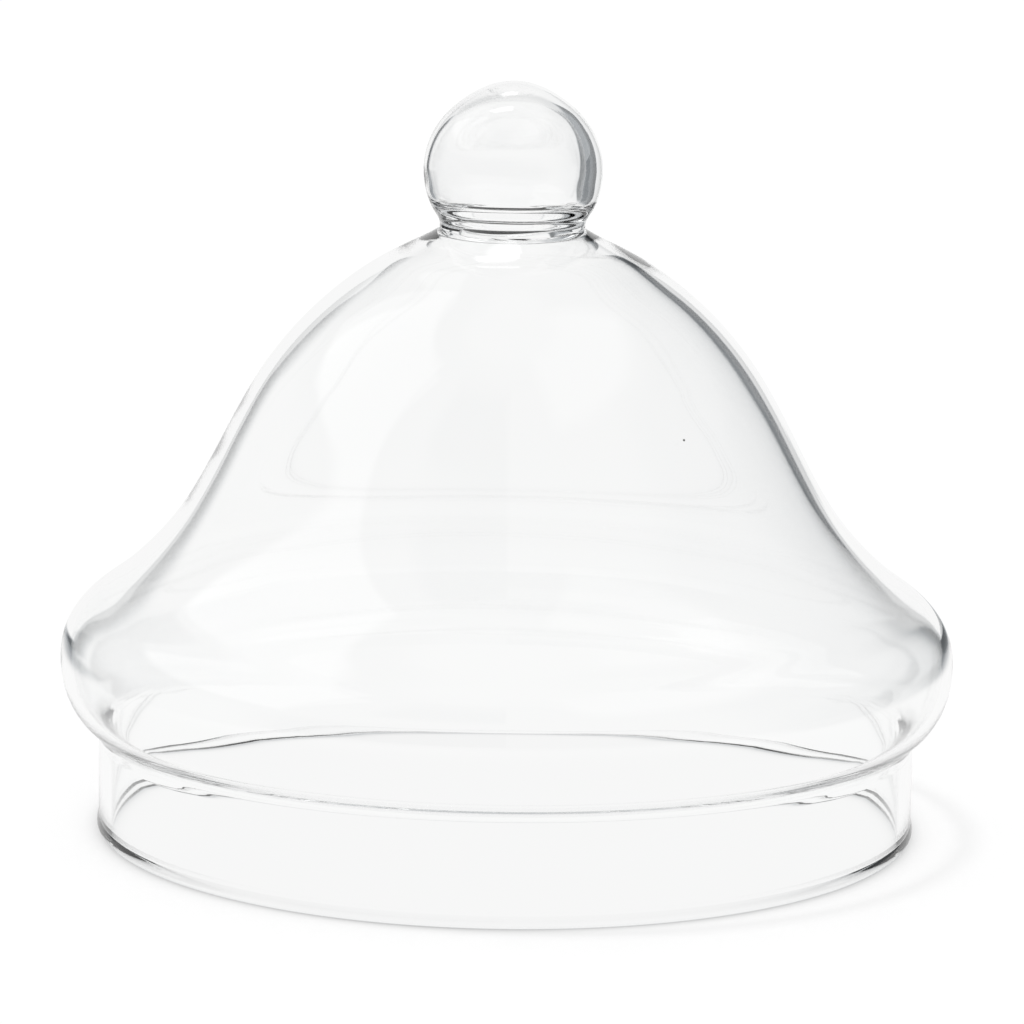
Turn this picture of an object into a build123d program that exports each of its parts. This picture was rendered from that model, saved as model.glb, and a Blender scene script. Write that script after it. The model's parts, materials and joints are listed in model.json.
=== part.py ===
from build123d import *
import os

# Bell-shaped glass dome (cloche) in clear blown glass: a round hollow knob with a
# flame-sealed tip, a narrow neck, a bell that flares into a rolled bulge, a straight
# collar and a beaded, fire-polished rim. Six rings of glass, each a revolved section.
# Frame: millimetres, +Z up, origin at the centre of the rim plane the dome stands on.
# Every point is (radius, height). Outlines are listed in the order they climb the dome.

# ---------------------------------------------------------------- rim and collar sizes
COLLAR_OUTER_R = 90.0
COLLAR_INNER_R = 87.2      # inside wall of collar and rim, one continuous cylinder
COLLAR_TOP_OUT = (COLLAR_OUTER_R, 20.15)  # outer crease where the bulge starts
COLLAR_TOP_IN = (COLLAR_INNER_R, 20.0)    # the inside wall turns outward above this

BEAD_TOP_Z = 2.9
BEAD_OUTER_R = 90.4        # fullest radius of the bead
BEAD_FULLEST_Z = 1.5
BEAD_INNER_ROUND_R = 0.7   # small round between the inside wall and the foot
FOOT_OUTER_R = 89.3        # edges of the flat ground foot
FOOT_INNER_R = COLLAR_INNER_R + BEAD_INNER_ROUND_R

# ---------------------------------------------------------------- points shared by pieces
SHOULDER_OUT = (53.46, 103.38)  # where the bell's flank splines meet its shoulder splines
SHOULDER_IN = (48.46, 104.57)

NECK_WELD_OUT = (21.1, 130.46)  # bell to neck ring
NECK_WELD_IN = (19.7, 127.76)

WAIST = (15.85, 133.45)         # sharp waist outside the neck

KNOB_WELD_Z = 137.5             # neck ring to knob bulb
KNOB_WELD_OUT = (17.3, KNOB_WELD_Z)
KNOB_WELD_IN = (13.18, KNOB_WELD_Z)

TIP_R = 5.0                     # radius of the sealed plug in the top of the knob
TIP_SEAM_WALL = 3.0             # glass height at the seam around the plug
TIP_SEAM_OUT_Z = 164.83
TIP_SEAM_OUT = (TIP_R, TIP_SEAM_OUT_Z)
TIP_SEAM_IN = (TIP_R, TIP_SEAM_OUT_Z - TIP_SEAM_WALL)
KNOB_TOP = (0, 165.7)           # highest point of the dome
CAVITY_TOP = (0, 162.5)         # roof of the hollow in the knob

# ---------------------------------------------------------------- wall directions
# (radius, height) directions of the wall going up the dome. Pieces that meet share
# them, so the surface runs on smoothly across the weld.
OUTWARD, INWARD = (1, 0), (-1, 0)
UP, DOWN = (0, 1), (0, -1)
BEAD_TOP_DIR = (-0.41, 0.91)
SHOULDER_OUT_DIR, SHOULDER_IN_DIR = (-0.5695, 0.822), (-0.6227, 0.7824)
NECK_OUT_DIR, NECK_IN_DIR = (-0.894, 0.449), (-0.913, 0.408)
WAIST_LOW_DIR, WAIST_HIGH_DIR = (-0.811, 0.585), (-0.009, 1.0)  # into and out of the waist
KNOB_OUT_DIR, KNOB_IN_DIR = (0.52, 0.854), (0.553, 0.833)
TIP_OUT_DIR, TIP_IN_DIR = (-0.95, 0.312), (-0.96, 0.28)

# ---------------------------------------------------------------- outlines
# Bell flank, from the top of the collar up to the shoulder
BELL_OUTSIDE = [
    COLLAR_TOP_OUT,
    (91.0, 23.17), (93.59, 25.54), (95.99, 28.58), (97.75, 33.0), (98.38, 37.91),
    (97.48, 44.02), (93.0, 50.38), (86.88, 54.98), (81.36, 59.77), (76.32, 65.08),
    (71.21, 71.85), (65.58, 81.66), (59.99, 92.47),
    SHOULDER_OUT,
]
BELL_INSIDE = [
    COLLAR_TOP_IN,
    (87.69, 22.69), (89.47, 25.33), (92.21, 27.51), (94.1, 30.03), (95.51, 33.76),
    (96.02, 37.85), (95.69, 41.71), (94.4, 45.01), (91.33, 48.58), (88.17, 50.91),
    (83.89, 53.92), (79.16, 57.98), (74.16, 63.07), (69.27, 69.29), (63.38, 79.18),
    (58.75, 88.09), (53.96, 96.68),
    SHOULDER_IN,
]
# Bell shoulder, up to the neck weld
SHOULDER_OUTSIDE = [
    SHOULDER_OUT,
    (46.05, 112.51), (38.92, 119.24), (32.01, 124.45), (26.38, 127.8),
    NECK_WELD_OUT,
]
SHOULDER_INSIDE = [
    SHOULDER_IN,
    (42.03, 111.7), (34.83, 118.09), (27.06, 123.57), (22.92, 126.17),
    NECK_WELD_IN,
]
# Neck: outside in two runs that meet at the waist; inside up into a short throat
NECK_OUTSIDE_LOW = [NECK_WELD_OUT, (18.1, 132.05), WAIST]
NECK_OUTSIDE_HIGH = [WAIST, (15.95, 134.95), KNOB_WELD_OUT]
NECK_INSIDE = [
    NECK_WELD_IN,
    (16.6, 129.75), (14.9, 131.3), (11.45, 132.46), (11.15, 134.98),
    KNOB_WELD_IN,
]
# Knob, from the neck weld up to the tip seam
KNOB_OUTSIDE = [
    KNOB_WELD_OUT,
    (18.7, 140.7), (19.5, 145.2), (19.33, 148.92), (17.84, 153.74), (14.52, 158.6),
    (9.92, 162.38),
    TIP_SEAM_OUT,
]
KNOB_INSIDE = [
    KNOB_WELD_IN,
    (15.6, 139.75), (16.72, 142.7), (17.25, 146.6), (16.6, 150.7), (14.9, 154.5),
    (12.2, 157.8), (8.6, 160.3),
    TIP_SEAM_IN,
]
# Sealed tip, from the seam in to the axis
TIP_OUTSIDE = [TIP_SEAM_OUT, (2.44, 165.46), KNOB_TOP]
TIP_INSIDE = [TIP_SEAM_IN, (2.5, 162.34), CAVITY_TOP]
# Bead, from the foot out around its fullest radius to its top
BEAD_OUTSIDE = [
    (FOOT_OUTER_R, 0), (90.15, 0.55), (BEAD_OUTER_R, BEAD_FULLEST_Z),
    (COLLAR_OUTER_R, BEAD_TOP_Z),
]


def back(direction):
    """The same direction walked the other way."""
    return (-direction[0], -direction[1])


def rim_bead():
    """Bead around the mouth: full outside, small inner round, narrow flat foot."""
    foot_inner = (FOOT_INNER_R, 0)
    round_top = (COLLAR_INNER_R, BEAD_INNER_ROUND_R)
    top_inner = (COLLAR_INNER_R, BEAD_TOP_Z)
    with BuildPart() as bead:
        with BuildSketch(Plane.XZ):
            with BuildLine():
                Line(foot_inner, BEAD_OUTSIDE[0])
                Spline(*BEAD_OUTSIDE, tangents=(OUTWARD, BEAD_TOP_DIR))
                Line(BEAD_OUTSIDE[-1], top_inner)
                Line(top_inner, round_top)
                # The negative radius bows the arc out towards the corner
                RadiusArc(round_top, foot_inner, -BEAD_INNER_ROUND_R)
            make_face()
        revolve(axis=Axis.Z)
    return bead.part


def base_collar():
    """Straight band between the bead and the bulge; its top face slopes slightly."""
    with BuildPart() as collar:
        with BuildSketch(Plane.XZ):
            with BuildLine():
                Polyline(
                    (COLLAR_INNER_R, BEAD_TOP_Z),
                    (COLLAR_OUTER_R, BEAD_TOP_Z),
                    COLLAR_TOP_OUT,
                    COLLAR_TOP_IN,
                    close=True,
                )
            make_face()
        revolve(axis=Axis.Z)
    return collar.part


def bell_shell():
    """Blown body: thin in the rolled bulge, heavier up the flank and shoulder."""
    with BuildPart() as bell:
        with BuildSketch(Plane.XZ):
            with BuildLine():
                Spline(*BELL_OUTSIDE, tangents=(UP, SHOULDER_OUT_DIR))
                Spline(*SHOULDER_OUTSIDE, tangents=(SHOULDER_OUT_DIR, NECK_OUT_DIR))
                Line(NECK_WELD_OUT, NECK_WELD_IN)
                Spline(
                    *reversed(SHOULDER_INSIDE),
                    tangents=(back(NECK_IN_DIR), back(SHOULDER_IN_DIR)),
                )
                Spline(*reversed(BELL_INSIDE), tangents=(back(SHOULDER_IN_DIR), DOWN))
                Line(COLLAR_TOP_IN, COLLAR_TOP_OUT)
            make_face()
        revolve(axis=Axis.Z)
    return bell.part


def neck_seal_ring():
    """Thick ring joining knob to bell; its open throat links the two hollows."""
    with BuildPart() as neck:
        with BuildSketch(Plane.XZ):
            with BuildLine():
                Spline(*NECK_OUTSIDE_LOW, tangents=(NECK_OUT_DIR, WAIST_LOW_DIR))
                Spline(*NECK_OUTSIDE_HIGH, tangents=(WAIST_HIGH_DIR, KNOB_OUT_DIR))
                Line(KNOB_WELD_OUT, KNOB_WELD_IN)
                Spline(*reversed(NECK_INSIDE), tangents=(back(KNOB_IN_DIR), back(NECK_IN_DIR)))
                Line(NECK_WELD_IN, NECK_WELD_OUT)
            make_face()
        revolve(axis=Axis.Z)
    return neck.part


def knob_bulb():
    """Hollow blown ball that serves as the handle, slightly pointed at its top."""
    with BuildPart() as knob:
        with BuildSketch(Plane.XZ):
            with BuildLine():
                Spline(*KNOB_OUTSIDE, tangents=(KNOB_OUT_DIR, TIP_OUT_DIR))
                Line(TIP_SEAM_OUT, TIP_SEAM_IN)
                Spline(*reversed(KNOB_INSIDE), tangents=(back(TIP_IN_DIR), back(KNOB_IN_DIR)))
                Line(KNOB_WELD_IN, KNOB_WELD_OUT)
            make_face()
        revolve(axis=Axis.Z)
    return knob.part


def knob_seal_tip():
    """Plug of glass that closes the blow hole in the top of the knob."""
    with BuildPart() as tip:
        with BuildSketch(Plane.XZ):
            with BuildLine():
                Line(CAVITY_TOP, KNOB_TOP)
                Spline(*reversed(TIP_OUTSIDE), tangents=(OUTWARD, back(TIP_OUT_DIR)))
                Line(TIP_SEAM_OUT, TIP_SEAM_IN)
                Spline(*TIP_INSIDE, tangents=(TIP_IN_DIR, INWARD))
            make_face()
        revolve(axis=Axis.Z)
    return tip.part


# ---------------------------------------------------------------- export
# Each piece is named after the function that builds it.
os.makedirs("parts", exist_ok=True)
for build in (rim_bead, base_collar, bell_shell, neck_seal_ring, knob_bulb, knob_seal_tip):
    piece = build()
    piece.label = build.__name__
    export_step(piece, f"parts/{piece.label}.step")
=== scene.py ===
"""Hand-blown glass dome with a hollow knob, open below, in a pale studio.

The dome stands on the table at z = 0 with its axis on Z; the main camera looks along +Y, X to its right.
Each wall surface is turned from a profile, and the pieces are cut from it at the welds.
"""
import json
import math
import random

import bpy
import numpy as np
from mathutils import Matrix, Vector

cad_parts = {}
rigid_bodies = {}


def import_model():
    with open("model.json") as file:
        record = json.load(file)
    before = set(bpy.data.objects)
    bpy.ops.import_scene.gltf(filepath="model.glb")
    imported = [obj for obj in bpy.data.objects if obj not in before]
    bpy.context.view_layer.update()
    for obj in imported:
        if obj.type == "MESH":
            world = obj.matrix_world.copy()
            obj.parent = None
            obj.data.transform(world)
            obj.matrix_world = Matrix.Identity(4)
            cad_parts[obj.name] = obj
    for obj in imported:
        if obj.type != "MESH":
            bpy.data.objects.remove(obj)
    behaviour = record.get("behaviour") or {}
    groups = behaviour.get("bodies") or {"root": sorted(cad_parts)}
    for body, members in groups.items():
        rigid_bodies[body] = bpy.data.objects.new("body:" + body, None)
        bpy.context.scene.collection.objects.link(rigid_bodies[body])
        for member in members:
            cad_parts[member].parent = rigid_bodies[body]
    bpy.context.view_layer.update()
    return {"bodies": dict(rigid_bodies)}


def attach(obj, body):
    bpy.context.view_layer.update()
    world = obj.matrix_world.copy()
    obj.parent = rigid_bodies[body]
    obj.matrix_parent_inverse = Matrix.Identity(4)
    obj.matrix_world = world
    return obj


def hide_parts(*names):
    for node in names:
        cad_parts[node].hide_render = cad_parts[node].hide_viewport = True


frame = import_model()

random.seed(7)
MM = 0.001
ROOT = list(frame["bodies"])[0]
SEGMENTS = 256
GLASS, WELD = 0, 1  # material slots of every piece

# ------------------------------------------------------------------ profiles: (radius, height), mm
COLLAR_OUTER_R, COLLAR_INNER_R = 90.0, 87.2
COLLAR_OUT_TOP, COLLAR_IN_TOP = (COLLAR_OUTER_R, 20.15), (COLLAR_INNER_R, 20.0)
BEAD_TOP_Z = 2.9
FOOT_ROUND_R = 0.7
FOOT_OUTER_R, FOOT_INNER_R = 89.3, COLLAR_INNER_R + FOOT_ROUND_R
NECK_WELD_OUT, NECK_WELD_IN = (21.1, 130.46), (19.7, 127.76)
KNOB_WELD_OUT, KNOB_WELD_IN = (17.3, 137.5), (13.18, 137.5)
TIP_SEAM_OUT, TIP_SEAM_IN = (5.0, 164.83), (5.0, 161.83)
WAIST = (15.85, 133.45)
BEAD = [(FOOT_OUTER_R, 0), (90.15, 0.55), (90.4, 1.5), (COLLAR_OUTER_R, BEAD_TOP_Z)]
BELL_OUTSIDE = [
    COLLAR_OUT_TOP, (91.0, 23.17), (93.59, 25.54), (95.99, 28.58), (97.75, 33.0),
    (98.38, 37.91), (97.48, 44.02), (93.0, 50.38), (86.88, 54.98), (81.36, 59.77),
    (76.32, 65.08), (71.21, 71.85), (65.58, 81.66), (59.99, 92.47), (53.46, 103.38),
    (46.05, 112.51), (38.92, 119.24), (32.01, 124.45), (26.38, 127.8), NECK_WELD_OUT,
]
NECK_OUTSIDE_LOW = [NECK_WELD_OUT, (18.1, 132.05), WAIST]
NECK_OUTSIDE_HIGH = [WAIST, (15.95, 134.95), KNOB_WELD_OUT]
KNOB_OUTSIDE = [
    KNOB_WELD_OUT, (18.7, 140.7), (19.5, 145.2), (19.33, 148.92),
    (17.84, 153.74), (14.52, 158.6), (9.92, 162.38), TIP_SEAM_OUT,
]
TIP_OUTSIDE = [TIP_SEAM_OUT, (2.44, 165.46), (0.0, 165.7)]
BELL_INSIDE = [
    COLLAR_IN_TOP, (87.29, 21.34), (87.69, 22.69), (88.39, 24.02), (89.47, 25.33),
    (90.91, 26.5), (92.21, 27.51), (93.2, 28.61), (94.1, 30.03), (94.92, 31.83), (95.51, 33.76),
    (95.87, 35.79), (96.02, 37.85), (95.97, 39.81), (95.69, 41.71), (95.18, 43.44), (94.4, 45.01),
    (93.19, 46.7), (91.33, 48.58), (88.17, 50.91), (83.89, 53.92), (79.16, 57.98), (74.16, 63.07),
    (69.27, 69.29), (63.38, 79.18), (58.75, 88.09), (53.96, 96.68), (48.46, 104.57),
    (42.03, 111.7), (34.83, 118.09), (27.06, 123.57), (22.92, 126.17), NECK_WELD_IN,
]
NECK_INSIDE = [
    NECK_WELD_IN, (16.6, 129.75), (14.9, 131.3), (11.45, 132.46), (11.15, 134.98), KNOB_WELD_IN,
]
KNOB_INSIDE = [
    KNOB_WELD_IN, (15.6, 139.75), (16.72, 142.7), (17.25, 146.6),
    (16.6, 150.7), (14.9, 154.5), (12.2, 157.8), (8.6, 160.3), TIP_SEAM_IN,
]
TIP_INSIDE = [TIP_SEAM_IN, (2.5, 162.34), (0.0, 162.5)]
# Unit directions (radius, height) of the wall at the ends of its stretches;
# stretches that meet at a weld share one, so that the surface runs on smoothly
UP, OUTWARD, INWARD = (0, 1), (1, 0), (-1, 0)
DIR_BEAD_TOP = (-0.41, 0.91)
DIR_NECK_OUT, DIR_NECK_IN = (-0.894, 0.449), (-0.913, 0.408)
DIR_WAIST_LOW, DIR_WAIST_HIGH = (-0.811, 0.585), (-0.009, 1.0)
DIR_KNOB_OUT, DIR_KNOB_IN = (0.52, 0.854), (0.553, 0.833)
DIR_TIP_OUT, DIR_TIP_IN = (-0.95, 0.312), (-0.96, 0.28)

# The cavity's axis wanders a little from the outside's axis: (height, shift along X), mm
CAVITY_DRIFT = [
    (0, 0), (45, 0), (60, -0.15), (75, -0.33), (88, -0.45), (96, -0.58),
    (102, -0.65), (109, -0.45), (116, -0.22), (122, -0.05), (127, 0.05), (131, -0.3),
    (134, -0.6), (140, -0.8), (147, -0.95), (155, -0.75), (160, -0.5), (163, -0.35),
]
POLE_FADE_R = 8.0  # ripples fade out inside this radius, mm


def spline(points, step, start, end):
    """Cubic spline by chord length with unit end directions; keeps every given point."""
    knots = np.asarray(points, float)
    chords = np.linalg.norm(np.diff(knots, axis=0), axis=1)
    count = len(knots)
    system, target = np.zeros((count, count)), np.zeros((count, 2))
    for i in range(1, count - 1):
        before, after = chords[i - 1], chords[i]
        system[i, i - 1 : i + 2] = before, 2 * (before + after), after
        target[i] = 6 * ((knots[i + 1] - knots[i]) / after - (knots[i] - knots[i - 1]) / before)
    system[0, :2] = 2 * chords[0], chords[0]
    target[0] = 6 * ((knots[1] - knots[0]) / chords[0] - np.asarray(start, float))
    system[-1, -2:] = chords[-1], 2 * chords[-1]
    target[-1] = 6 * (np.asarray(end, float) - (knots[-1] - knots[-2]) / chords[-1])
    bend = np.linalg.solve(system, target)
    curve = [knots[0]]
    for i, chord in enumerate(chords):
        parts = max(1, int(math.ceil(chord / step)))
        for k in range(1, parts + 1):
            done = chord * k / parts
            left = chord - done
            curve.append(
                bend[i] * left**3 / (6 * chord) + bend[i + 1] * done**3 / (6 * chord)
                + (knots[i] / chord - bend[i] * chord / 6) * left
                + (knots[i + 1] / chord - bend[i + 1] * chord / 6) * done
            )
    return np.array(curve)


def line(start, end, step):
    parts = max(1, int(math.ceil(math.dist(start, end) / step)))
    return np.linspace(np.asarray(start, float), np.asarray(end, float), parts + 1)


def foot_round(count=7):
    """Inner round of the foot, from the ground face up into the cylinder."""
    angle = np.radians(np.linspace(-90, -180, count))
    radius = FOOT_INNER_R + FOOT_ROUND_R * np.cos(angle)
    return np.stack([radius, FOOT_ROUND_R + FOOT_ROUND_R * np.sin(angle)], 1)


# ------------------------------------------------------------------ ripples in the walls, mm
def waves(seed, count, turns, length):
    """Random waves round the axis and up the wall: (amplitude share, turns, wavelength, phase)."""
    rng = random.Random(seed)
    return [
        (rng.uniform(0.4, 1.0), rng.randint(0, turns), rng.uniform(*length), rng.uniform(0, 6.28))
        for _ in range(count)
    ]


DRAWN_OUTSIDE = waves(seed=3, count=5, turns=2, length=(9, 24))
DRAWN_INSIDE = waves(seed=11, count=7, turns=3, length=(6, 20))
SCAR = waves(seed=23, count=9, turns=7, length=(0.5, 1.4))


def sum_waves(table, phi, z):
    total = sum(
        share * np.sin(turns * phi + 2 * math.pi * z / length + phase)
        for share, turns, length, phase in table
    )
    return total / math.sqrt(len(table))


def ramp(z, start, span):
    """0 at start, 1 from start + span on; a negative span runs downward."""
    return np.clip((z - start) / span, 0, 1)


def flank(z, start, span):
    """Share of the ripples: grows from start and ends below the neck."""
    return ramp(z, start, span) * ramp(z, start=124, span=-8)


def outside_ripple(phi, z):
    """Shallow drawing rings left by the blowing, and the puckered scar round the tip."""
    rings = 0.008 * flank(z, start=50, span=20) * sum_waves(DRAWN_OUTSIDE, phi, z)
    return rings + 0.10 * ramp(z, start=164.6, span=0.5) * sum_waves(SCAR, phi, z)


def inside_ripple(phi, z):
    return 0.012 * flank(z, start=48, span=16) * sum_waves(DRAWN_INSIDE, phi, z)


# ------------------------------------------------------------------ walls and pieces
class Wall:
    """A smooth surface as a grid of rings, in metres; named stretches of it go to the pieces."""

    def __init__(self, stretches, inner=False):
        rings, self.spans = [np.asarray(stretches[0][1], float)[:1]], {}
        for name, points in stretches:
            first = sum(len(ring) for ring in rings) - 1
            rings.append(np.asarray(points, float)[1:])
            self.spans[name] = (first, first + len(points) - 1)
        profile = np.vstack(rings)
        phi = (np.arange(SEGMENTS) * 2 * math.pi / SEGMENTS)[None, :]
        radius, z = profile[:, :1], profile[:, 1:]
        ripple = inside_ripple(phi, z) if inner else outside_ripple(phi, z)
        radius = radius + ripple * np.clip(radius / POLE_FADE_R, 0, 1)
        x = radius * np.cos(phi)
        y = radius * np.sin(phi)
        if inner:
            x = x + np.interp(z, *np.array(CAVITY_DRIFT, float).T)
        self.points = np.stack([x, y, np.broadcast_to(z, x.shape)], -1) * MM
        along = np.gradient(self.points, axis=0)
        around = np.roll(self.points, -1, axis=1) - np.roll(self.points, 1, axis=1)
        normals = np.cross(around, along)
        size = np.linalg.norm(normals, axis=2, keepdims=True)
        normals = normals / np.maximum(size, 1e-15)
        if profile[-1, 0] < 1e-9:
            normals[-1] = (0, 0, 1)
        self.normals = -normals if inner else normals

    def run(self, name):
        first, last = self.spans[name]
        return self.points[first : last + 1], self.normals[first : last + 1], GLASS

    def run_back(self, name):
        points, normals, slot = self.run(name)
        return points[::-1], normals[::-1], slot


def weld(start, end):
    """Two-ring run across the glass, from one ring to another."""
    around = np.roll(start, -1, axis=0) - np.roll(start, 1, axis=0)
    normals = np.cross(around, end - start)
    normals /= np.linalg.norm(normals, axis=1, keepdims=True)
    return np.stack([start, end]), np.stack([normals, normals]), WELD


def solid(name, runs, closed, materials):
    """Closed mesh from runs that follow each other round the section.

    closed is False if the section starts and ends on the axis.
    """
    verts, rings, rows = [], [], []

    def add_ring(points):
        base = len(verts)
        if np.ptp(points, axis=0).max() < 1e-9:  # a pole
            verts.append(points[0])
            return [base] * SEGMENTS
        verts.extend(points)
        return list(range(base, base + SEGMENTS))

    for i, (points, normals, index) in enumerate(runs):
        if not rings:
            rings.append(add_ring(points[0]))
        for k in range(1, len(points)):
            last = closed and i == len(runs) - 1 and k == len(points) - 1
            ring = rings[0] if last else add_ring(points[k])
            rows.append((rings[-1], ring, normals[k - 1], normals[k], index))
            rings.append(ring)
    faces, indices, corner_normals = [], [], []
    for low, high, low_n, high_n, index in rows:
        for j in range(SEGMENTS):
            k = (j + 1) % SEGMENTS
            corners = [(low[j], low_n[j])]
            if low[j] != low[k]:
                corners.append((low[k], low_n[k]))
            if low[j] == low[k] or high[j] != high[k]:
                corners.append((high[k], high_n[k]))
            corners.append((high[j], high_n[j]))
            faces.append([vert for vert, _ in corners])
            corner_normals += [tuple(normal) for _, normal in corners]
            indices.append(index)
    mesh = bpy.data.meshes.new(name)
    mesh.from_pydata([tuple(vert) for vert in verts], [], faces)
    mesh.polygons.foreach_set("material_index", indices)
    mesh.polygons.foreach_set("use_smooth", [True] * len(faces))
    for material in materials:
        mesh.materials.append(material)
    mesh.update()
    mesh.normals_split_custom_set(corner_normals)
    obj = bpy.data.objects.new(name, mesh)
    bpy.context.scene.collection.objects.link(obj)
    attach(obj, ROOT)
    return obj


# ------------------------------------------------------------------ materials
class Net:
    """Short ways to build the node tree of a material or world."""

    MAIN_SLOPE = 0.19825  # tangent of the main view's downward angle

    def __init__(self, owner):
        owner.use_nodes = True
        self.tree = owner.node_tree
        self.tree.nodes.clear()

    def node(self, kind, inputs=None, **settings):
        node = self.tree.nodes.new("ShaderNode" + kind)
        for key, value in settings.items():
            setattr(node, key, value)
        for key, value in (inputs or {}).items():
            if isinstance(value, bpy.types.NodeSocket):
                self.tree.links.new(value, node.inputs[key])
            else:
                node.inputs[key].default_value = value
        return node

    def calc(self, operation, *values):
        values = (values + (0.0, 0.0))[:3]
        return self.node("Math", dict(enumerate(values)), operation=operation).outputs[0]

    def mul(self, first, second):
        return self.calc("MULTIPLY", first, second)

    def add(self, first, second):
        return self.calc("ADD", first, second)

    def sub(self, first, second):
        return self.calc("SUBTRACT", first, second)

    def rise(self, x, at, soft):
        """0 below at, 1 above it, smooth over plus or minus soft."""
        inputs = {"From Min": at - soft, "From Max": at + soft, "Value": x}
        return self.node("MapRange", inputs, interpolation_type="SMOOTHSTEP").outputs["Result"]

    def below(self, x, at, soft):
        return self.sub(1.0, self.rise(x, at, soft))

    def band(self, x, lo, hi, soft, soft_hi=None):
        """1 from lo to hi; soft_hi is for a different softness at hi."""
        return self.mul(self.rise(x, lo, soft), self.below(x, hi, soft_hi or soft))

    def paint(self, base, *patches):
        """Lay patches (value, mask, mask...) over base, one after another."""
        for value, mask, *others in patches:
            for other in others:
                mask = self.mul(mask, other)
            base = self.calc("MULTIPLY_ADD", self.sub(value, base), mask, base)
        return base

    def mix(self, factor, first, second):
        """Colour from first to second."""
        return self.node("Mix", {0: factor, 6: first, 7: second}, data_type="RGBA").outputs[2]

    def noise(self, place, scale, detail):
        inputs = {"Scale": scale, "Detail": detail, "Vector": place}
        return self.node("TexNoise", inputs).outputs[0]

    def vec(self, operation, *vectors, out="Vector"):
        inputs = dict(enumerate(vectors))
        return self.node("VectorMath", inputs, operation=operation).outputs[out]

    def join(self, x, y, z):
        return self.node("CombineXYZ", {0: x, 1: y, 2: z}).outputs[0]

    def split(self, vector):
        return self.node("SeparateXYZ", {0: vector}).outputs

    def from_camera(self, vector):
        """World direction of a direction in the camera's frame."""
        return self.node(
            "VectorTransform", {0: vector},
            vector_type="VECTOR", convert_from="CAMERA", convert_to="WORLD",
        ).outputs[0]

    def view_frame(self):
        """Level unit vectors to the camera's right and straight away from it."""
        flat = self.vec("MULTIPLY", self.from_camera((1, 0, 0)), (1, 1, 0))
        right = self.vec("NORMALIZE", flat)
        parts = self.split(right)
        return right, self.join(self.mul(parts[1], -1.0), parts[0], 0.0)

    def pitch(self):
        """How steeply the camera looks down, as a multiple of the slope of the main view."""
        down = self.calc("ABSOLUTE", self.split(self.from_camera((0, 0, 1)))[2])
        level = self.calc(
            "SQRT", self.calc("MAXIMUM", self.sub(1.0, self.mul(down, down)), 0.01)
        )
        slope = self.calc("DIVIDE", down, self.mul(level, self.MAIN_SLOPE))
        return self.calc("MINIMUM", self.calc("MAXIMUM", slope, 0.2), 5.0)

    def azimuth(self, vector):
        """Degrees from straight away from the camera, plus to its right."""
        right, away = self.view_frame()
        across = self.vec("DOT_PRODUCT", vector, right, out="Value")
        ahead = self.vec("DOT_PRODUCT", vector, away, out="Value")
        return self.mul(self.calc("ARCTAN2", across, ahead), 180 / math.pi)


def new_material(name):
    material = bpy.data.materials.new(name)
    return material, Net(material)


def glass_material(name, pits=0.0, haze=0.0):
    """Clear glass with slow waves and, where asked, fine pits (depth, m) and a patchy haze."""
    material, net = new_material(name)
    place = net.node("TexCoord").outputs["Object"]
    # a trace of tint that comes and goes with the melt
    tint = net.mix(
        net.noise(place, scale=18.0, detail=2.0), first=(1, 1, 1, 1), second=(0.996, 1.0, 0.998, 1)
    )
    roughness = 0.0
    if haze:
        patches = net.rise(net.noise(place, scale=700.0, detail=3.0), at=0.55, soft=0.12)
        roughness = net.mul(patches, haze)
    wave_height = 6e-6
    height = net.mul(net.noise(place, scale=45.0, detail=1.0), wave_height)
    if pits:
        height = net.add(height, net.mul(net.noise(place, scale=900.0, detail=2.0), pits))
    bump = net.node("Bump", {"Strength": 1.0, "Distance": 1.0, "Height": height})
    glass = net.node("BsdfPrincipled", {
        "Transmission Weight": 1.0,
        "IOR": 1.47,
        "Base Color": tint,
        "Roughness": roughness,
        "Normal": bump.outputs[0],
    })
    net.node("OutputMaterial", {0: glass.outputs[0]})
    return material


def weld_material():
    """Fully transparent, so that the faces between welded pieces don't show."""
    material, net = new_material("fused_weld")
    net.node("OutputMaterial", {0: net.node("BsdfTransparent").outputs[0]})
    return material


def stone_material():
    material, net = new_material("batch_stone")
    mottle = net.node("TexNoise", {"Scale": 5000.0}).outputs[0]
    tone = net.mix(mottle, first=(0.16, 0.16, 0.16, 1), second=(0.45, 0.44, 0.42, 1))
    stone = net.node("BsdfPrincipled", {"Roughness": 0.7, "Base Color": tone})
    net.node("OutputMaterial", {0: stone.outputs[0]})
    return material


CLEAR = glass_material("clear_blown_glass")
TIP_GLASS = glass_material("seal_glass", pits=4e-5, haze=0.12)
FUSED = weld_material()

# ------------------------------------------------------------------ the dome
outside = Wall([
    ("collar", line((COLLAR_OUTER_R, BEAD_TOP_Z), COLLAR_OUT_TOP, step=2.0)),
    ("bell", spline(BELL_OUTSIDE, step=0.9, start=UP, end=DIR_NECK_OUT)),
    ("neck", spline(NECK_OUTSIDE_LOW, step=0.3, start=DIR_NECK_OUT, end=DIR_WAIST_LOW)),
])
above_waist = Wall([
    ("neck", spline(NECK_OUTSIDE_HIGH, step=0.3, start=DIR_WAIST_HIGH, end=DIR_KNOB_OUT)),
    ("knob", spline(KNOB_OUTSIDE, step=0.5, start=DIR_KNOB_OUT, end=DIR_TIP_OUT)),
    ("tip", spline(TIP_OUTSIDE, step=0.25, start=DIR_TIP_OUT, end=INWARD)),
])
ground_face = line((FOOT_INNER_R, 0), (FOOT_OUTER_R, 0), step=0.35)
bead = spline(BEAD, step=0.25, start=OUTWARD, end=DIR_BEAD_TOP)
rim = Wall([("rim", np.vstack([ground_face, bead[1:]]))])
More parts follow.
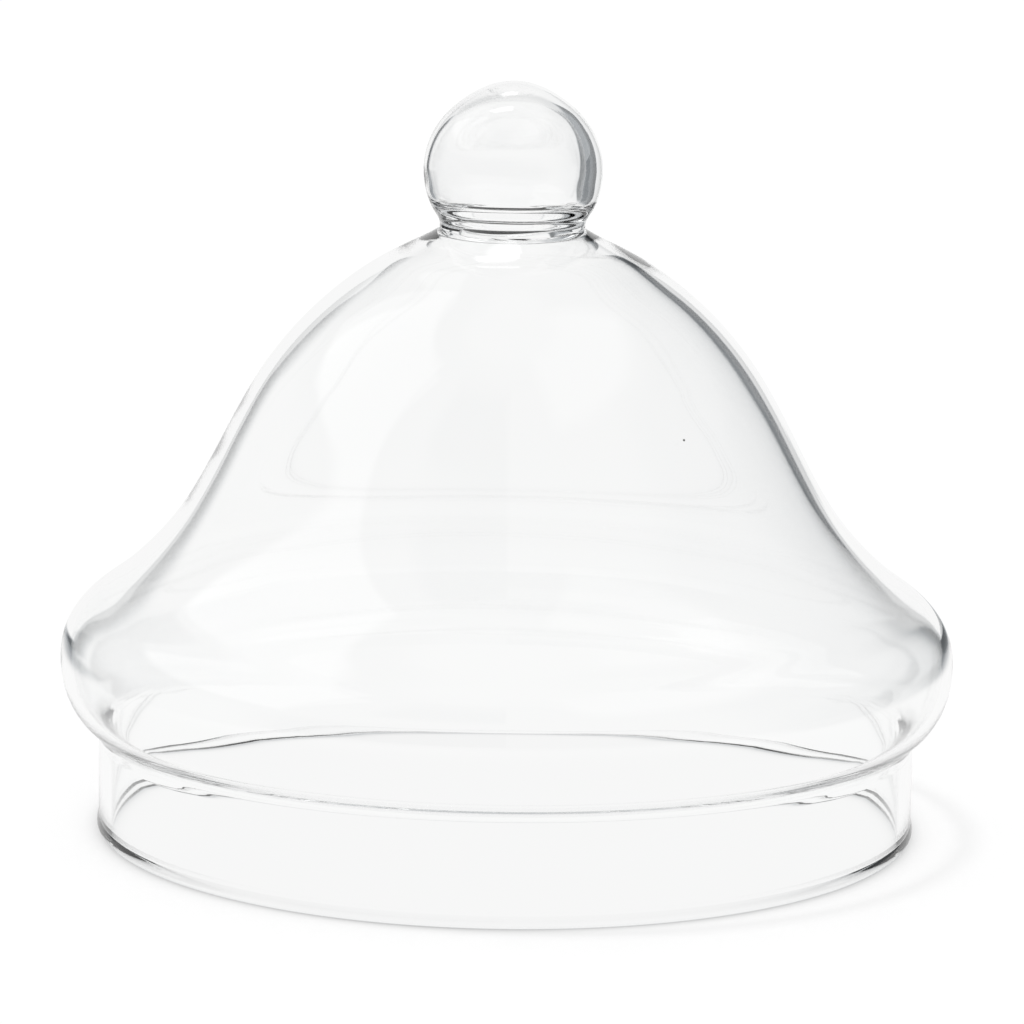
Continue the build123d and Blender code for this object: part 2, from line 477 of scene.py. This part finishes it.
foot_wall = line((COLLAR_INNER_R, FOOT_ROUND_R), (COLLAR_INNER_R, BEAD_TOP_Z), step=1.0)
inside = Wall([
    ("rim", np.vstack([foot_round(), foot_wall[1:]])),
    ("collar", line((COLLAR_INNER_R, BEAD_TOP_Z), COLLAR_IN_TOP, step=2.0)),
    ("bell", spline(BELL_INSIDE, step=0.9, start=UP, end=DIR_NECK_IN)),
    ("neck", spline(NECK_INSIDE, step=0.4, start=DIR_NECK_IN, end=DIR_KNOB_IN)),
    ("knob", spline(KNOB_INSIDE, step=0.5, start=DIR_KNOB_IN, end=DIR_TIP_IN)),
    ("tip", spline(TIP_INSIDE, step=0.3, start=DIR_TIP_IN, end=INWARD)),
], inner=True)


def piece(node, outer_runs, stretch, glass=CLEAR):
    """One glass piece between the outer runs and a stretch of the inside."""
    inner = inside.run_back(stretch)
    runs = list(outer_runs)
    if stretch != "tip":
        runs += [weld(runs[-1][0][-1], inner[0][0]), inner]
    if stretch == "tip":
        # from the cavity roof's pole down to the weld, then up the outside to the top pole
        runs = [inner, weld(inner[0][-1], runs[0][0][0])] + runs
    elif stretch != "rim":  # the rim's two walls already meet at the foot
        runs.append(weld(inner[0][-1], runs[0][0][0]))
    return solid(node + "_glass", runs, stretch != "tip", [glass, FUSED])


neck_runs = [outside.run("neck"), above_waist.run("neck")]
tip_runs = [above_waist.run("tip")]
made = {
    "rim_bead": piece("rim_bead", [rim.run("rim")], "rim"),
    "base_collar": piece("base_collar", [outside.run("collar")], "collar"),
    "bell_shell": piece("bell_shell", [outside.run("bell")], "bell"),
    "neck_seal_ring": piece("neck_seal_ring", neck_runs, "neck"),
    "knob_bulb": piece("knob_bulb", [above_waist.run("knob")], "knob"),
    "knob_seal_tip": piece("knob_seal_tip", tip_runs, "tip", TIP_GLASS),
}
for node, obj in made.items():
    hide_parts(node)

# A grain of unmelted batch caught in the front wall, right of the middle
stone_look = stone_material()
bpy.ops.mesh.primitive_ico_sphere_add(
    subdivisions=3, radius=0.00027, location=(0.0366, -0.0439, 0.0949)
)
speck = bpy.context.object
speck.name = "wall_speck"
speck.data.materials.append(stone_look)
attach(speck, ROOT)


# ------------------------------------------------------------------ studio
# The studio turns with the camera, so that every view gets the same light. A white paper sweep
# runs away behind the dome between dark edges, with a large soft box high on the left, a smaller
# one high on the right and a pale ceiling. Patches are (radiance, masks).
PAPER_LEFT, PAPER_RIGHT, PAPER_RIGHT_TABLE = -29.2, 22.3, 21.5  # azimuths of the paper's edges


def sky_light(net, azim, elev):
    """Radiance of the room by azimuth and elevation in degrees."""
    band, rise, below = net.band, net.rise, net.below
    low = below(elev, at=23, soft=4)
    # the paper narrows upward, so the dark room comes closer on both sides there
    lean = net.mul(net.calc("MAXIMUM", net.sub(elev, 2.0), 0.0), 0.42)
    left, right = net.sub(azim, lean), net.add(azim, lean)
    on_paper = net.mul(
        rise(left, at=PAPER_LEFT, soft=1.2), below(right, at=PAPER_RIGHT, soft=1.5)
    )
    return net.paint(
        0.80,
        # left: low behind the camera, then the side wall and the black edge of the paper
        (0.62, below(azim, at=-110, soft=20), below(elev, at=26, soft=8)),
        (0.88, band(azim, lo=-112, hi=-31, soft=12, soft_hi=3), below(elev, at=30, soft=6)),
        (0.93, band(left, lo=-112, hi=PAPER_LEFT, soft=12, soft_hi=1.2), low),
        (0.13, band(left, lo=-40, hi=PAPER_LEFT, soft=4.5, soft_hi=1.0), low),
        # right: the side wall and the black edge of the paper
        (0.60, band(azim, lo=21.5, hi=112, soft=2.5, soft_hi=12), below(elev, at=48, soft=6)),
        (0.46, band(right, lo=PAPER_RIGHT, hi=100, soft=1.5, soft_hi=12), low),
        (0.12, band(right, lo=PAPER_RIGHT, hi=33, soft=1.3, soft_hi=7), low),
        # the paper and the wall over it
        (0.76, band(azim, lo=-34, hi=26, soft=3), band(elev, lo=25, hi=37, soft=3, soft_hi=5)),
        (0.94, on_paper, low),
        (0.90, band(azim, lo=-36, hi=28, soft=5), band(elev, lo=38, hi=68, soft=10, soft_hi=5)),
        # left soft box, right soft box, dimmer patch behind the camera on the left
        (1.30, band(azim, lo=-115, hi=-42, soft=2), band(elev, lo=31, hi=66, soft=1.5)),
        (1.10, band(azim, lo=55, hi=150, soft=5), band(elev, lo=53, hi=80, soft=3)),
        (0.55, below(azim, at=-138, soft=6), band(elev, lo=42, hi=66, soft=4)),
        # ceiling, and the lamp over the back of the table
        (0.95, rise(elev, at=76, soft=4)),
        (3.4, band(azim, lo=-20, hi=5, soft=2), band(elev, lo=56, hi=63, soft=2)),
    )


def table_light(net, azim, near):
    """Radiance of the table, as glass sees it, by azimuth and distance (m) from the dome's axis."""
    band, rise = net.band, net.rise
    # painted shade: the table under the dome glows dimmer than the table outside the foot
    base = net.paint(0.93, (0.955, rise(near, at=0.093, soft=0.004)))
    # a steeper view brings the edges of the paper closer, so that they stay behind the dome
    far = net.mul(near, net.pitch())
    behind = net.sub(1.0, band(azim, lo=-100, hi=100, soft=20))
    on_paper = net.mul(
        rise(azim, at=PAPER_LEFT, soft=1.2),
        net.below(azim, at=PAPER_RIGHT_TABLE, soft=1.5),
    )
    light = net.paint(
        base,
        # the camera's side, then the far table
        (1.1, behind, band(far, lo=0.25, hi=0.7, soft=0.1)),
        (0.90, rise(far, at=1.2, soft=0.6)),
        # left of the paper, and its edge
        (0.92, band(azim, lo=-112, hi=PAPER_LEFT, soft=12, soft_hi=1.2),
         rise(far, at=0.55, soft=0.12)),
        (0.34, band(azim, lo=-60, hi=PAPER_LEFT, soft=8, soft_hi=1.2),
         band(far, lo=0.30, hi=0.85, soft=0.08, soft_hi=0.25)),
        (0.13, band(azim, lo=-40, hi=PAPER_LEFT, soft=4.5, soft_hi=1.0),
         rise(far, at=0.50, soft=0.10)),
        # right of the paper, and its edge
        (0.56, band(azim, lo=PAPER_RIGHT_TABLE, hi=112, soft=1.5, soft_hi=12),
         rise(far, at=0.36, soft=0.10)),
        (0.26, band(azim, lo=PAPER_RIGHT_TABLE, hi=58, soft=1.5, soft_hi=10),
         rise(far, at=0.34, soft=0.10)),
        (0.12, band(azim, lo=PAPER_RIGHT, hi=33, soft=1.3, soft_hi=7),
         rise(far, at=0.40, soft=0.10)),
        (0.94, on_paper, rise(far, at=0.36, soft=0.1)),
    )
    return net.mul(light, contact_shade(net, near))


def contact_shade(net, radius):
    """Share of the light that reaches the table close to the foot of the dome and under it."""

    def decay(distance, length):
        return net.calc(
            "EXPONENT", net.mul(net.calc("MAXIMUM", distance, 0.0), -1 / length)
        )

    outer = decay(net.sub(radius, 0.0895), length=0.0016)
    inner = decay(net.sub(0.0877, radius), length=0.0012)
    depth = 0.37
    return net.sub(1.0, net.mul(net.mul(outer, inner), depth))


def cool_shade(net, light):
    """White where the light is bright, a little cooler in the dark parts of the room."""
    bright = net.rise(light, at=0.55, soft=0.35)
    return net.mix(bright, first=(0.89, 0.95, 1.0, 1), second=(1, 1, 1, 1))


def build_world():
    world = bpy.data.worlds.new("studio")
    bpy.context.scene.world = world
    net = Net(world)
    direction = net.node("TexCoord").outputs["Generated"]
    elev = net.mul(net.calc("ARCSINE", net.split(direction)[2]), 180 / math.pi)
    room = sky_light(net, net.azimuth(direction), elev)
    # the camera itself sees plain white
    light = net.paint(room, (1.03, net.node("LightPath").outputs["Is Camera Ray"]))
    background = net.node("Background", {1: light, 0: cool_shade(net, light)})
    net.node("OutputWorld", {0: background.outputs[0]})


def floor_material():
    """Studio table that glows for the glass; for the camera, white paper with the dome's soft shadows
    painted into its glow, plus a small share lit by the room.
    """
    material, net = new_material("pale_floor")
    where = net.node("NewGeometry").outputs["Position"]
    radius = net.vec("LENGTH", where, out="Value")
    table = table_light(net, net.azimuth(where), radius)
    glow = net.node("Emission", {"Strength": table, "Color": cool_shade(net, table)})
    # painted shadow: the soft crescent the dome throws to the right and forward
    off_centre = net.vec("SUBTRACT", where, (0.0115, -0.0015, 0))
    reach = net.vec("LENGTH", off_centre, out="Value")
    ring = net.band(reach, lo=0.0885, hi=0.0935, soft=0.0025, soft_hi=0.0036)
    painted_crescent_shadow = net.mul(ring, 0.065)
    # painted shade: the paper is a little darker close round the dome
    painted_near_shade = net.mul(net.below(radius, at=0.112, soft=0.026), 0.006)
    # painted shadows: the contact shadow, the crescent and the near shade are taken off the paper's
    # brightness
    paper = net.sub(net.sub(contact_shade(net, radius), painted_crescent_shadow), painted_near_shade)
    grain = net.noise(where, scale=60.0, detail=3.0)
    paper = net.mul(paper, net.add(0.994, net.mul(grain, 0.012)))
    # most of the paper's brightness is its own glow, the rest is lit by the room
    shade = net.mul(paper, 0.13)
    lit = net.node("BsdfDiffuse", {"Color": net.join(shade, shade, shade)})
    fill = net.node("Emission", {"Strength": net.mul(paper, 0.915)})
    both = net.node("AddShader", {0: lit.outputs[0], 1: fill.outputs[0]})
    to_camera = net.node("LightPath").outputs["Is Camera Ray"]
    pick = net.node("MixShader", {0: to_camera, 1: glow.outputs[0], 2: both.outputs[0]})
    net.node("OutputMaterial", {0: pick.outputs[0]})
    return material


build_world()
bpy.ops.mesh.primitive_circle_add(vertices=128, radius=9.0, fill_type="NGON", location=(0, 0, 0))
floor = bpy.context.object
floor.name = "studio_floor"
floor.location.z = -0.00004  # a breath of air under the glass
floor.data.materials.append(floor_material())

# ------------------------------------------------------------------ camera
CAM_ELEV, CAM_DIST, CAM_ROLL = math.radians(11.2134), 1.2640, math.radians(0.7817)
TARGET = Vector((0.000723, 0, 0.0704))
cam_data = bpy.data.cameras.new("camera")
cam = bpy.data.objects.new("camera", cam_data)
bpy.context.scene.collection.objects.link(cam)
cam_data.sensor_width = 36.0
cam_data.lens = 201.97
cam_data.clip_start, cam_data.clip_end = 0.05, 60
back = Vector((0, -math.cos(CAM_ELEV), math.sin(CAM_ELEV)))
turn = back.to_track_quat("Z", "Y").to_matrix().to_4x4() @ Matrix.Rotation(CAM_ROLL, 4, "Z")
cam.matrix_world = Matrix.Translation(TARGET + back * CAM_DIST) @ turn

scene = bpy.context.scene
scene.camera = cam
scene.view_settings.view_transform = "Standard"
scene.cycles.max_bounces = 32
scene.cycles.transmission_bounces = 32
scene.cycles.glossy_bounces = 16
scene.cycles.diffuse_bounces = 4
scene.cycles.transparent_max_bounces = 64
scene.cycles.caustics_reflective = True
scene.cycles.caustics_refractive = True
